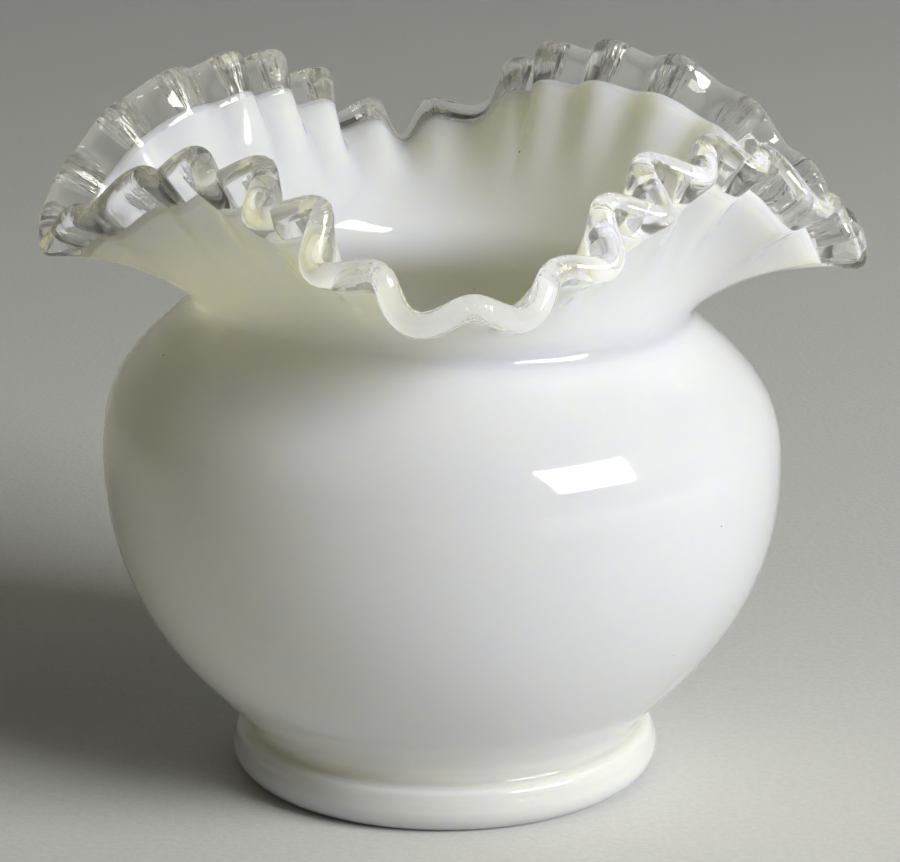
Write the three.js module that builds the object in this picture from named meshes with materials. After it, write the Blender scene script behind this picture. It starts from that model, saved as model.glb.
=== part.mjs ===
// Crimped vase: an opal glass globe whose mouth flares out into a ruffled, crimped rim, a band
// of clear glass fused along the edge of the rim, and a glass foot ring that it stands on.
// Millimetres, +Z up, and the front is -Y. Angles go from the right-hand side round by the back.
import * as THREE from 'three';

// The origin is on the table, under the middle of the box that the vase fills. The rim reaches
// further out on the right, so the foot stands to the left of the origin.
const footCentreX = -2.6;

// Foot ring: a rounded ring of glass, ground flat underneath
const restInnerRadius = 31;
const restOuterRadius = 37.9;
const footRadius = 41.7;
const footWidestHeight = 4.1;
const footTopRadius = 40.2;
const footHeight = 8.8;
const footEdgeRound = 1;

// Globe, as the outside of its wall
const footJoinRadius = 36.1;
const footJoinSlope = 53;
const footJoinPull = 11.3;
const bellyRadius = 65;
const bellyHeight = 62.5;
const bellyPullDown = 31.6;
const bellyPullUp = 12.3;
const neckRadius = 46.3;
const neckHeight = 93.1;
const shoulderSlope = 38;
const shoulderPull = 20.8;

// Glass thicknesses, and the height of the underside above the table
const wall = 3.2;
const floorThickness = 5.5;
const undersideHeight = 4;
const floorFlatRadius = 25;

// The hand-blown shape is not quite true: the shoulder dips to the right, and the axis bows a
// little to the left between the table and the rim
const shoulderDip = 2;
const dipStartHeight = 29;
const dipEase = 0.7;
const axisBow = -0.5;

// Rim: the edge curve and the flare that carries it at its four high places, and how far the four
// lobes are pulled down and out from there. Slopes are in degrees above level, outwards.
const rimRadius = 59.9;
const rimHeight = 129.8;
const rimSlope = 53;
const flareSlope = 82;
const rimRiseRight = 0.01;
const rimRiseBack = 0.029;
const rightDrop = 27.6;
const rightReach = 18.3;
const backDrop = 20.3;
const backReach = 17.5;
const leftDrop = 19.3;
const leftReach = 14.2;
const frontDrop = 19.4;
const frontReach = 18.4;
const lobeSharpness = 2.2;
const reachSpread = 1.2;
const flareStartPull = 0.25;
const flareEndPull = 0.45;

// Crimps: waves pressed into the rim, from nothing part of the way up the flare to full depth
const crimpCount = 30;
const crimpDepth = 2.4;
const backCrimpDepth = 3.5;
const frontCrimpDepth = 1.7;
const firstCrimp = 0.64;
const crimpFadeStart = 0.42;
const crimpRise = 2;

// Each crimp was pressed by eye, round from the right-hand side: how far it lies off its even
// place, in degrees, and how much deeper or shallower it is than its neighbours would have it
const crimpNudges = [
  0, -1, -1, -0.5, 0.5, 0.5, -3.5, 0, -0.5, 0, -0.5, -2, -1, 1, 0,
  0, 0.5, 2, 0, 0.2, -0.5, -0.5, 1, 1, 0.3, -2, 0, -1, 2, 0,
];
const crimpStrengths = [
  1, 1, 1, 0.9, 1, 1, 0.8, 1, 1.1, 1.5, 1.1, 1, 0.5, 1, 1,
  1, 0.7, 0.5, 1.1, 1.6, 2, 1.5, 1, 1.2, 1.9, 1.8, 1.2, 1.1, 1.5, 1,
];

// The lobes: where each one points and how wide it is, in degrees, how far it is pulled down and
// out, the slopes of the glass in its middle, and how deep it is crimped
const lobes = [
  {
    angle: 2.7, width: 24.1, drop: rightDrop, reach: rightReach,
    slope: 8, flareSlope: 38, crimp: crimpDepth,
  },
  {
    angle: 96.7, width: 19.9, drop: backDrop, reach: backReach,
    slope: 5, flareSlope: 50, crimp: backCrimpDepth,
  },
  {
    angle: 190.4, width: 21.6, drop: leftDrop, reach: leftReach,
    slope: 15, flareSlope: 42, crimp: crimpDepth,
  },
  {
    angle: 273, width: 23.2, drop: frontDrop, reach: frontReach,
    slope: 15, flareSlope: 50, crimp: frontCrimpDepth,
  },
];

// Clear crest: a band along the edge, thicker than the wall and with a full round rim
const crestWidth = 8.5;
const lobeCrestWidth = 7.3;
const crestThickness = 4.6;

// Space that the fused pieces leave between each other
const fuseGap = 0.3;

// Mesh fineness
const columnsPerCrimp = 6;
const globeRows = 10;
const shoulderRows = 5;
const flareRows = 5;
const plainFlareRows = 2;
const bandRows = 3;
const roundRows = 4;
const seatRows = 2;
const footRows = 3;
const ringColumns = 60;

const radians = THREE.MathUtils.degToRad;
const clamp = THREE.MathUtils.clamp;

// Outline of the globe as two curves that meet upright at the belly

const footJoin = new THREE.Vector2(footJoinRadius, footHeight);
const belly = new THREE.Vector2(bellyRadius, bellyHeight);
const neck = new THREE.Vector2(neckRadius, neckHeight);

// The point at a distance from another, in the direction of a slope
function stepFrom(point, slope, distance) {
  const step = new THREE.Vector2(Math.cos(slope), Math.sin(slope));
  return step.multiplyScalar(distance).add(point);
}

const lowerGlobe = new THREE.CubicBezierCurve(
  footJoin,
  stepFrom(footJoin, radians(footJoinSlope), footJoinPull),
  stepFrom(belly, radians(-90), bellyPullDown),
  belly,
);
const upperGlobe = new THREE.CubicBezierCurve(
  belly,
  stepFrom(belly, radians(90), bellyPullUp),
  stepFrom(neck, radians(-shoulderSlope), shoulderPull),
  neck,
);

// The underside goes on from the wall's slope at the foot and is level inside the foot ring
const undersideDrop = footHeight - undersideHeight;
const undersideCorner = stepFrom(
  footJoin,
  radians(footJoinSlope),
  -undersideDrop / Math.sin(radians(footJoinSlope)),
);
const underside = new THREE.QuadraticBezierCurve(
  new THREE.Vector2(restInnerRadius, undersideHeight),
  undersideCorner,
  footJoin,
);

// A point of a curve moved by a distance to the left of the way that the curve runs
function beside(curve, share, distance) {
  const tangent = curve.getTangent(share);
  const sideways = new THREE.Vector2(-tangent.y, tangent.x);
  return sideways.multiplyScalar(distance).add(curve.getPoint(share));
}

// Rim

// How strongly a lobe pulls at an angle, from 1 in its middle to 0 well away from it
function pullOf(lobe, angle, spread) {
  const turn = THREE.MathUtils.euclideanModulo(angle - lobe.angle + 180, 360) - 180;
  return Math.exp(-((Math.abs(turn) / (lobe.width * spread)) ** lobeSharpness));
}

// The edge of the rim at an angle, along the middle of the glass and before it is crimped, with
// the slopes of the flare there and at the neck, the crimps' depth and the crest's width
function rimEdge(angle) {
  const edge = {
    radius: rimRadius,
    height: rimHeight,
    slope: rimSlope,
    flareSlope,
    crimp: crimpDepth,
    crest: crestWidth,
  };
  for (const lobe of lobes) {
    const pull = pullOf(lobe, angle, 1);
    edge.radius += lobe.reach * pullOf(lobe, angle, reachSpread);
    edge.height -= lobe.drop * pull;
    edge.slope += (lobe.slope - rimSlope) * pull;
    edge.flareSlope += (lobe.flareSlope - flareSlope) * pull;
    edge.crest += (lobeCrestWidth - crestWidth) * pull;
    edge.crimp += (lobe.crimp - crimpDepth) * pull;
  }
  const turn = radians(angle);
  edge.height += edge.radius * (rimRiseRight * Math.cos(turn) + rimRiseBack * Math.sin(turn));
  return edge;
}

// The crimps lie between even angles and even lengths of edge: their places are even in a sum
// of the square root of the edge's length, taken one degree at a time
const crimpSum = [0];
for (let angle = 0; angle < 360; angle += 1) {
  const here = rimEdge(angle);
  const next = rimEdge(angle + 1);
  const across = here.radius * radians(1);
  const length = Math.hypot(across, next.radius - here.radius, next.height - here.height);
  crimpSum.push(crimpSum[angle] + Math.sqrt(length));
}

// A value that is listed for each crimp, at a share of the way round, smoothly from one to the next
function crimpValue(values, share) {
  const crimp = THREE.MathUtils.euclideanModulo(share * crimpCount - firstCrimp, crimpCount);
  const before = Math.floor(crimp);
  const blend = THREE.MathUtils.smoothstep(crimp - before, 0, 1);
  const from = values[before % values.length];
  const to = values[(before + 1) % values.length];
  return THREE.MathUtils.lerp(from, to, blend);
}

// The angle at a share of the way round, counted in crimps
function angleAt(share) {
  const wanted = THREE.MathUtils.euclideanModulo(share, 1) * crimpSum[360];
  const after = Math.max(crimpSum.findIndex((sum) => sum > wanted), 1);
  const before = after - 1;
  const even = before + (wanted - crimpSum[before]) / (crimpSum[after] - crimpSum[before]);
  return even + crimpValue(crimpNudges, share);
}

// How far the axis lies off upright at a height
function bowAt(height) {
  return axisBow * Math.sin(Math.PI * clamp(height / rimHeight, 0, 1));
}

// Tilt of a level circle of the globe, in radians
function dipAt(height) {
  const share = clamp((height - dipStartHeight) / (neckHeight - dipStartHeight), 0, 1);
  return radians(shoulderDip) * share ** dipEase;
}

// A point of the globe in space, from its place in the outline and its angle
function onGlobe(outline, angle) {
  const turn = radians(angle);
  const dip = dipAt(outline.y);
  const right = outline.x * Math.cos(turn);
  return new THREE.Vector3(
    right * Math.cos(dip) + bowAt(outline.y),
    outline.x * Math.sin(turn),
    outline.y - right * Math.sin(dip),
  );
}

// Where the glass turns from the globe into the flare, its middle and its inside lie this far
// above the crease on the outside
const neckLift = wall / 3;

// The flare is one curve at each angle, from the neck to the edge of the rim, through the middle
// of the glass. It bends most where it leaves the shoulder.
function flareAt(angle) {
  const edge = rimEdge(angle);
  const radius = neckRadius - neckLift;
  const dip = radius * Math.cos(radians(angle)) * Math.sin(dipAt(neckHeight));
  const start = new THREE.Vector2(radius, neckHeight + neckLift - dip);
  const end = new THREE.Vector2(edge.radius, edge.height);
  const chord = start.distanceTo(end);
  const curve = new THREE.CubicBezierCurve(
    start,
    stepFrom(start, radians(edge.flareSlope), chord * flareStartPull),
    stepFrom(end, radians(edge.slope), -chord * flareEndPull),
    end,
  );
  return { curve, crimp: edge.crimp, crest: edge.crest, endSpeed: 3 * chord * flareEndPull };
}

// A point of the smooth flare in space, at a share of the way from the neck to the edge
function onSmoothFlare(angle, along) {
  const place = flareAt(angle).curve.getPoint(along);
  const turn = radians(angle);
  return new THREE.Vector3(place.x * Math.cos(turn), place.x * Math.sin(turn), place.y);
}

// Two directions of the smooth flare at a point: outwards in the glass, square to the way round,
// and aside out of the glass, upwards or inwards
const probeAngle = 0.5;

function flareDirections(angle, along) {
  const tangent = flareAt(angle).curve.getTangent(along);
  const turn = radians(angle);
  const onwards = new THREE.Vector3(
    tangent.x * Math.cos(turn),
    tangent.x * Math.sin(turn),
    tangent.y,
  );
  const round = onSmoothFlare(angle + probeAngle, along)
    .sub(onSmoothFlare(angle - probeAngle, along))
    .normalize();
  const aside = new THREE.Vector3().crossVectors(onwards, round).normalize();
  const outwards = new THREE.Vector3().crossVectors(round, aside);
  return { outwards, aside };
}

// A point of the crimped flare in space. Along is its share of the way from the neck to the edge,
// beyond is a distance past that in the glass, and lift is a distance out of the middle of the
// glass, upwards or inwards.
function onFlare(share, along, beyond, lift) {
  const angle = angleAt(share);
  const rise = clamp((along - crimpFadeStart) / (1 - crimpFadeStart), 0, 1) ** crimpRise;
  const depth = flareAt(angle).crimp * crimpValue(crimpStrengths, share) * rise;
  const wave = depth * Math.cos(2 * Math.PI * (share * crimpCount - firstCrimp));
  const directions = flareDirections(angle, along);
  const place = onSmoothFlare(angle, along);
  place.addScaledVector(directions.aside, lift + wave);
  place.addScaledVector(directions.outwards, beyond);
  place.x += bowAt(place.z);
  return place;
}

// The share of the flare at a distance back from the edge of the rim
function alongAt(share, distance) {
  return 1 - distance / flareAt(angleAt(share)).endSpeed;
}

// The distance back from the edge at which the clear crest takes over from the opal glass
function crestAt(share) {
  return rimEdge(angleAt(share)).crest;
}

// Rings of points, and the skin that joins them

function ringOf(columns, place) {
  return Array.from({ length: columns }, (_, column) => place(column / columns));
}

function globeRing(columns, outline) {
  return ringOf(columns, (share) => onGlobe(outline, angleAt(share)));
}

// Triangles between two rings that may have different numbers of columns
function zip(corners, lower, upper) {
  let low = lower.length === 1 ? 1 : 0;
  let high = upper.length === 1 ? 1 : 0;
  while (low < lower.length || high < upper.length) {
    const lowPoint = lower[low % lower.length];
    const highPoint = upper[high % upper.length];
    const lowNext = (low + 1) / lower.length;
    const highNext = (high + 1) / upper.length;
    if (lowNext <= highNext) {
      low += 1;
      corners.push(lowPoint, lower[low % lower.length], highPoint);
    } else {
      high += 1;
      corners.push(lowPoint, upper[high % upper.length], highPoint);
    }
  }
}

// A closed skin over rings. Its ends are caps round a middle point, or the last ring joins the
// first. The rings run so that the skin faces outwards.
function skinOver(rings, isLoop) {
  const corners = [];
  rings.slice(1).forEach((ring, index) => zip(corners, rings[index], ring));
  if (isLoop) {
    zip(corners, rings.at(-1), rings[0]);
  }
  const positions = corners.flatMap((corner) => corner.toArray());
  const geometry = new THREE.BufferGeometry();
  geometry.setAttribute('position', new THREE.Float32BufferAttribute(positions, 3));
  geometry.computeVertexNormals();
  return geometry;
}

const rimColumns = crimpCount * columnsPerCrimp;
const flareColumns = rimColumns / 2;
const globeColumns = rimColumns / 3;

// Opal vessel: globe, neck and ruffled flare in one wall, open at the mouth

function opalVessel() {
  const rings = [];
  const wallRing = (row, side) =>
    ringOf(row > plainFlareRows ? rimColumns : flareColumns, (share) => {
      const along = (row / flareRows) * alongAt(share, crestAt(share));
      return onFlare(share, along, 0, (side * wall) / 2);
    });

  // Up the outside, from the middle of the underside
  rings.push([onGlobe(new THREE.Vector2(0, undersideHeight), 0)]);
  rings.push(globeRing(globeColumns / 2, underside.getPoint(0)));
  rings.push(globeRing(globeColumns, underside.getPoint(0.5)));
  for (let row = 0; row < globeRows; row += 1) {
    rings.push(globeRing(globeColumns, lowerGlobe.getPoint(row / globeRows)));
  }
  for (let row = 0; row <= shoulderRows; row += 1) {
    rings.push(globeRing(globeColumns, upperGlobe.getPoint(row / shoulderRows)));
  }
  for (let row = 1; row <= flareRows; row += 1) {
    rings.push(wallRing(row, -1));
  }

  // Down the inside, to the middle of the floor
  for (let row = flareRows; row > 0; row -= 1) {
    rings.push(wallRing(row, 1));
  }
  const neckInside = new THREE.Vector2(neckRadius - wall, neckHeight + neckLift);
  rings.push(globeRing(globeColumns, neckInside));
  for (let row = shoulderRows - 1; row > 0; row -= 1) {
    rings.push(globeRing(globeColumns, beside(upperGlobe, row / shoulderRows, wall)));
  }
  for (let row = globeRows; row > 0; row -= 1) {
    rings.push(globeRing(globeColumns, beside(lowerGlobe, row / globeRows, wall)));
  }
  const floorHeight = undersideHeight + floorThickness;
  rings.push(globeRing(globeColumns / 2, new THREE.Vector2(floorFlatRadius, floorHeight)));
  rings.push([onGlobe(new THREE.Vector2(0, floorHeight), 0)]);
  return skinOver(rings, false);
}

// Clear crest: a ribbon with a round edge, fused to the edge of the opal glass

function clearCrest() {
  const rings = [];
  const bandRing = (row, side) =>
    ringOf(rimColumns, (share) => {
      const across = row / bandRows;
      const back = (crestAt(share) - fuseGap) * (1 - across);
      const thickness = THREE.MathUtils.lerp(wall, crestThickness, across);
      return onFlare(share, alongAt(share, back), 0, (side * thickness) / 2);
    });
  const radius = crestThickness / 2;
  for (let row = 0; row <= bandRows; row += 1) {
    rings.push(bandRing(row, -1));
  }
  for (let row = 1; row < roundRows; row += 1) {
    const turn = Math.PI * (row / roundRows);
    rings.push(
      ringOf(rimColumns, (share) =>
        onFlare(share, 1, radius * Math.sin(turn), -radius * Math.cos(turn)),
      ),
    );
  }
  for (let row = bandRows; row >= 0; row -= 1) {
    rings.push(bandRing(row, 1));
  }
  return skinOver(rings, true);
}

// Foot ring: rounded outside, ground flat below, and shaped on top to the underside of the globe

function footRing() {
  const outline = new THREE.Path();
  const bulge = footRadius - restOuterRadius;
  const roundHeight = footHeight - footEdgeRound;
  outline.moveTo(restInnerRadius, 0);
  outline.lineTo(restOuterRadius, 0);
  outline.absellipse(
    restOuterRadius, footWidestHeight, bulge, footWidestHeight, radians(-90), 0, false, 0,
  );
  outline.quadraticCurveTo(footRadius, roundHeight, footTopRadius, roundHeight);
  outline.quadraticCurveTo(footTopRadius, footHeight, footTopRadius - footEdgeRound, footHeight);
  for (let row = seatRows; row >= 0; row -= 1) {
    const seat = beside(underside, row / seatRows, -fuseGap);
    outline.lineTo(seat.x, seat.y);
  }
  outline.closePath();
  const geometry = new THREE.LatheGeometry(outline.getPoints(footRows), ringColumns);
  return geometry.rotateX(Math.PI / 2);
}

const materials = {
  opal: new THREE.MeshStandardMaterial({ color: 0xe9ebe6, roughness: 0.12, metalness: 0 }),
  clear: new THREE.MeshStandardMaterial({
    color: 0xdfe5e2, roughness: 0.03, metalness: 0, transparent: true, opacity: 0.35,
  }),
};

function piece(name, geometry, material) {
  const mesh = new THREE.Mesh(geometry, material);
  mesh.name = name;
  return mesh;
}

const vase = new THREE.Group();
vase.position.x = footCentreX;
vase.add(piece('opal_vessel', opalVessel(), materials.opal));
vase.add(piece('clear_crest', clearCrest(), materials.clear));
vase.add(piece('foot_ring', footRing(), materials.opal));

export default vase;
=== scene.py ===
# %% [markdown]
# # Crimped vase in opal and clear glass
# The real vase is one gather of milk-white glass, blown round, flared at the mouth and ruffled with
# a crimping tool while it was soft. A band of clear glass was wound on the edge before that, and a
# ring of opal glass was set under it as a foot. Nothing on it moves.
#
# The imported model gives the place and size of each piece. This script repeats the shape rule that
# the glass follows, at a much finer step, so that the waves and the round edge look poured and
# not cut. The steps are: the camera, the studio, the finishes, the rule, and then the pieces.

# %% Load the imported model
import math
import bpy
import numpy as np
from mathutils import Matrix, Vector


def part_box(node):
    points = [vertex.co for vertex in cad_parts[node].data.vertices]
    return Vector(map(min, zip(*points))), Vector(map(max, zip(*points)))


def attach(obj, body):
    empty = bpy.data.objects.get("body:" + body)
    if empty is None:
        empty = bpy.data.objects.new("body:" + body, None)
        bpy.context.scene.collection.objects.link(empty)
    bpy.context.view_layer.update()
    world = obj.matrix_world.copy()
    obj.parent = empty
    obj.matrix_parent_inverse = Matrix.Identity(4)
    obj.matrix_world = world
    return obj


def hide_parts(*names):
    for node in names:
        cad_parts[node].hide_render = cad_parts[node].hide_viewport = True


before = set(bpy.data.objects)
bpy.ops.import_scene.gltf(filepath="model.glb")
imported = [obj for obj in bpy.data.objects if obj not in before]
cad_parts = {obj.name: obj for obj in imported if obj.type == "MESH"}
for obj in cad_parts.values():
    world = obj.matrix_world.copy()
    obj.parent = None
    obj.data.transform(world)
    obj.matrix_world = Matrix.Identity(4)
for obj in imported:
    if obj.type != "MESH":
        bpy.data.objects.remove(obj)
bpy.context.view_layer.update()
foot_low, foot_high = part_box("foot_ring")
MM = 0.001
print("nodes:", sorted(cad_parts))

# %% [markdown]
# ## Camera
# The photograph was taken with a long lens from a little above the rim, so the foot and the mouth
# both show as shallow ellipses. A long focal length at the right distance matters more here than
# anything else: a wider lens close by would open the mouth too much.

# %% Camera
CAMERA_DISTANCE = 0.650
CAMERA_ELEVATION = math.radians(15.56)
LENS = 135.2
SENSOR_WIDTH = 36.0
AIM = Vector((-1.58 * MM, 0.0, 66.9 * MM))

camera_data = bpy.data.cameras.new("camera")
camera_data.lens = LENS
camera_data.sensor_width = SENSOR_WIDTH
camera_data.dof.use_dof = False
camera = bpy.data.objects.new("camera", camera_data)
bpy.context.collection.objects.link(camera)
towards_camera = Vector((0.0, -math.cos(CAMERA_ELEVATION), math.sin(CAMERA_ELEVATION)))
camera.location = AIM + towards_camera * CAMERA_DISTANCE
camera.rotation_euler = towards_camera.to_track_quat("Z", "Y").to_euler()
bpy.context.scene.camera = camera
bpy.context.scene.view_settings.view_transform = "Standard"
print("camera at", [round(value, 3) for value in camera.location])

# %% [markdown]
# ## Nodes, written as sentences
# Materials, the world and geometry trees are all node trees. Making a node takes four lines, and
# a tree has dozens of them, so one helper makes a node, sets its properties and joins its inputs.
# An input is given by its name, or by its number where two inputs share a name. A value may be a
# plain number, or the output of another node.

# %% Helpers for nodes
def add_node(tree, kind, properties=None, inputs=None):
    """A new node in a tree, with its properties set and its inputs joined or filled."""
    node = tree.nodes.new(kind)
    for name, value in (properties or {}).items():
        setattr(node, name, value)
    for name, value in (inputs or {}).items():
        socket = node.inputs[name]
        if isinstance(value, bpy.types.NodeSocket):
            tree.links.new(value, socket)
        else:
            socket.default_value = value
    return node


def math_node(tree, operation, first, second=0.0):
    """The output of a math node."""
    inputs = {0: first, 1: second}
    return add_node(tree, "ShaderNodeMath", {"operation": operation}, inputs).outputs[0]


def vector_node(tree, operation, inputs):
    """The output of a vector math node."""
    return add_node(tree, "ShaderNodeVectorMath", {"operation": operation}, inputs).outputs[0]


def map_range(tree, value, from_min, from_max, to_min=0.0, to_max=1.0):
    """The output of a node that stretches one range of values to another."""
    inputs = {
        "Value": value, "From Min": from_min, "From Max": from_max,
        "To Min": to_min, "To Max": to_max,
    }
    return add_node(tree, "ShaderNodeMapRange", None, inputs).outputs[0]


def mix_colours(tree, factor, first, second):
    """The output of a node that blends two colours."""
    inputs = {0: factor, 6: first, 7: second}
    return add_node(tree, "ShaderNodeMix", {"data_type": "RGBA"}, inputs).outputs[2]


def noise(tree, vector, scale, detail, roughness):
    """The grey output of a noise texture."""
    inputs = {"Vector": vector, "Scale": scale, "Detail": detail, "Roughness": roughness}
    return add_node(tree, "ShaderNodeTexNoise", None, inputs).outputs[0]


def bump(tree, height, distance, normal=None):
    """A normal that is tilted by a height, with the distance that a height of one stands for."""
    inputs = {"Height": height, "Distance": distance, "Strength": 1.0}
    if normal is not None:
        inputs["Normal"] = normal
    return add_node(tree, "ShaderNodeBump", None, inputs).outputs[0]


# %% [markdown]
# ## Studio
# White glass shows its shape only through shading, so the light decides the picture. One softbox
# stands to the right and in front, low enough to leave its window-shaped reflection on the belly
# and a long shadow to the left. A large weak panel above it and a weaker reflector on the left
# fill the shadows a little, both warm, as light is that has come off the walls of a room. The
# paper that the vase stands on sweeps up behind it, and the clear edge shows that. In front the
# room is nearly black, and that is what draws the dark bands in the clear edge and lets the
# shaded side glow with the light inside the glass.

# %% Floor
FLOOR_HALF_WIDTH = 4.0
FLOOR_FRONT = -4.0
SWEEP_START = 1.1
SWEEP_RADIUS = 0.4
SWEEP_TOP = 2.2
SWEEP_STEPS = 16
FLOOR_COLOUR = (0.655, 0.66, 0.70, 1.0)
FLOOR_FLECK = (0.615, 0.62, 0.658, 1.0)
PAPER_GRAIN_SCALE = 700.0
PAPER_FLECK_RANGE = (0.35, 0.65)
PAPER_GRAIN_HEIGHT = 0.1 * MM
PAPER_ROUGHNESS = 0.85
PAPER_SPECULAR = 0.2

sweep = [(FLOOR_FRONT, 0.0)]
for step in range(SWEEP_STEPS + 1):
    turn = math.pi / 2 * step / SWEEP_STEPS
    forwards = SWEEP_START + SWEEP_RADIUS * math.sin(turn)
    sweep.append((forwards, SWEEP_RADIUS * (1 - math.cos(turn))))
sweep.append((SWEEP_START + SWEEP_RADIUS, SWEEP_TOP))
corners = [(side * FLOOR_HALF_WIDTH, y, z) for y, z in sweep for side in (-1, 1)]
faces = [(2 * i, 2 * i + 1, 2 * i + 3, 2 * i + 2) for i in range(len(sweep) - 1)]
floor_mesh = bpy.data.meshes.new("floor")
floor_mesh.from_pydata(corners, [], faces)
floor_mesh.polygons.foreach_set("use_smooth", [True] * len(faces))
floor = bpy.data.objects.new("floor", floor_mesh)
bpy.context.collection.objects.link(floor)

floor_material = bpy.data.materials.new("studio paper")
floor_material.use_nodes = True
paper = floor_material.node_tree
paper_shader = paper.nodes["Principled BSDF"]
paper_place = add_node(paper, "ShaderNodeTexCoord").outputs["Object"]
paper_grain = noise(paper, paper_place, PAPER_GRAIN_SCALE, 3.0, 0.6)
is_fleck = map_range(paper, paper_grain, *PAPER_FLECK_RANGE)
paper_colour = mix_colours(paper, is_fleck, FLOOR_COLOUR, FLOOR_FLECK)
paper.links.new(paper_colour, paper_shader.inputs["Base Color"])
paper.links.new(bump(paper, paper_grain, PAPER_GRAIN_HEIGHT), paper_shader.inputs["Normal"])
paper_shader.inputs["Roughness"].default_value = PAPER_ROUGHNESS
paper_shader.inputs["Specular IOR Level"].default_value = PAPER_SPECULAR
floor_mesh.materials.append(floor_material)
print("floor:", len(faces), "faces, sweeping up behind the vase")

# %% Lights
BELLY_MIDDLE = Vector((0.0, 0.0, 0.07))


def softbox(name, azimuth, elevation, distance, width, height, power, colour):
    """A rectangular light that faces the belly. The azimuth is measured from the camera's side."""
    turn = math.radians(azimuth)
    tilt = math.radians(elevation)
    level = math.cos(tilt)
    away = Vector((math.sin(turn) * level, -math.cos(turn) * level, math.sin(tilt)))
    light = bpy.data.lights.new(name, "AREA")
    light.shape = "RECTANGLE"
    light.size = width
    light.size_y = height
    light.energy = power
    light.color = colour
    lamp = bpy.data.objects.new(name, light)
    lamp.location = BELLY_MIDDLE + away * distance
    lamp.rotation_euler = away.to_track_quat("Z", "Y").to_euler()
    bpy.context.collection.objects.link(lamp)


softbox(
    "key softbox", azimuth=54.0, elevation=25.5, distance=1.8,
    width=0.955, height=0.668, power=38.5, colour=(1.0, 1.0, 0.91),
)
softbox(
    "high panel", azimuth=70.0, elevation=50.0, distance=2.2,
    width=2.4, height=2.4, power=5.0, colour=(1.0, 0.98, 0.62),
)
softbox(
    "left reflector", azimuth=-40.0, elevation=35.0, distance=2.2,
    width=1.6, height=1.6, power=2.0, colour=(1.0, 0.9, 0.5),
)

# %% World
WORLD_COLOUR = (1.0, 0.95, 0.7, 1.0)
HORIZON_LEVEL = 0.03
CEILING_LEVEL = 0.01
FADE_HEIGHTS = (0.0, 0.5)

world = bpy.data.worlds.new("studio room")
bpy.context.scene.world = world
world.use_nodes = True
room = world.node_tree
room_up = add_node(room, "ShaderNodeTexCoord").outputs["Generated"]
room_height = add_node(room, "ShaderNodeSeparateXYZ", None, {0: room_up}).outputs["Z"]
room_level = map_range(room, room_height, *FADE_HEIGHTS, HORIZON_LEVEL, CEILING_LEVEL)
room.nodes["Background"].inputs["Color"].default_value = WORLD_COLOUR
room.links.new(room_level, room.nodes["Background"].inputs["Strength"])
print("lights:", [item.name for item in bpy.data.lights])

# %% [markdown]
# ## Marks of hand work, as one shader group
# Both glasses were worked hot, so both carry the same marks at other strengths: slow ripples from
# blowing, streaks where the soft glass was pulled outwards, lumps where the crimping tool bit,
# thin clouds in the colour, and faint smears where it was handled. They could be painted in each
# material, but one group keeps them alike. It gives out only masks and heights, and each material
# decides what to do with them. The streaks need to follow the glass round the rim, so they read an
# attribute that the mesh carries, called flow: its first two numbers go round with the vase, and
# the third goes along the glass.

# %% Shader group for hand work
def make_hand_work():
    group = bpy.data.node_groups.new("hand work", "ShaderNodeTree")
    for name, value in (
        ("Cloud Scale", 14.0), ("Ripple Scale", 60.0), ("Streak Scale", 900.0),
        ("Streak Length", 0.06), ("Lump Scale", 420.0), ("Smear Scale", 90.0),
    ):
        socket = group.interface.new_socket(name, in_out="INPUT", socket_type="NodeSocketFloat")
        socket.default_value = value
    for name in ("Place", "Flow"):
        group.interface.new_socket(name, in_out="INPUT", socket_type="NodeSocketVector")
    for name in ("Clouds", "Ripples", "Streaks", "Lumps", "Smears"):
        group.interface.new_socket(name, in_out="OUTPUT", socket_type="NodeSocketFloat")
    given = group.nodes.new("NodeGroupInput").outputs
    result = group.nodes.new("NodeGroupOutput").inputs
    place = given["Place"]
    shape = {0: 1.0, 1: 1.0, 2: given["Streak Length"]}
    pull = add_node(group, "ShaderNodeCombineXYZ", None, shape)
    stretched = vector_node(group, "MULTIPLY", {0: given["Flow"], 1: pull.outputs[0]})
    made = {
        "Clouds": noise(group, place, given["Cloud Scale"], 3.0, 0.55),
        "Ripples": noise(group, place, given["Ripple Scale"], 1.0, 0.4),
        "Streaks": noise(group, stretched, given["Streak Scale"], 2.0, 0.5),
        "Lumps": noise(group, place, given["Lump Scale"], 2.0, 0.5),
        "Smears": noise(group, place, given["Smear Scale"], 4.0, 0.6),
    }
    for name, value in made.items():
        group.links.new(value, result[name])
    return group


hand_work = make_hand_work()
print("shader group:", hand_work.name, [item.name for item in hand_work.interface.items_tree])


# %% A material that starts with the marks
def new_material(name):
    """A material, its tree, its shader and the hand-work node, which is joined to the mesh."""
    material = bpy.data.materials.new(name)
    material.use_nodes = True
    tree = material.node_tree
    marks = add_node(tree, "ShaderNodeGroup", {"node_tree": hand_work})
    place = add_node(tree, "ShaderNodeTexCoord").outputs["Object"]
    flow = add_node(tree, "ShaderNodeAttribute", {"attribute_name": "flow"}).outputs["Vector"]
    tree.links.new(place, marks.inputs["Place"])
    tree.links.new(flow, marks.inputs["Flow"])
    return material, tree, tree.nodes["Principled BSDF"], marks
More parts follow.
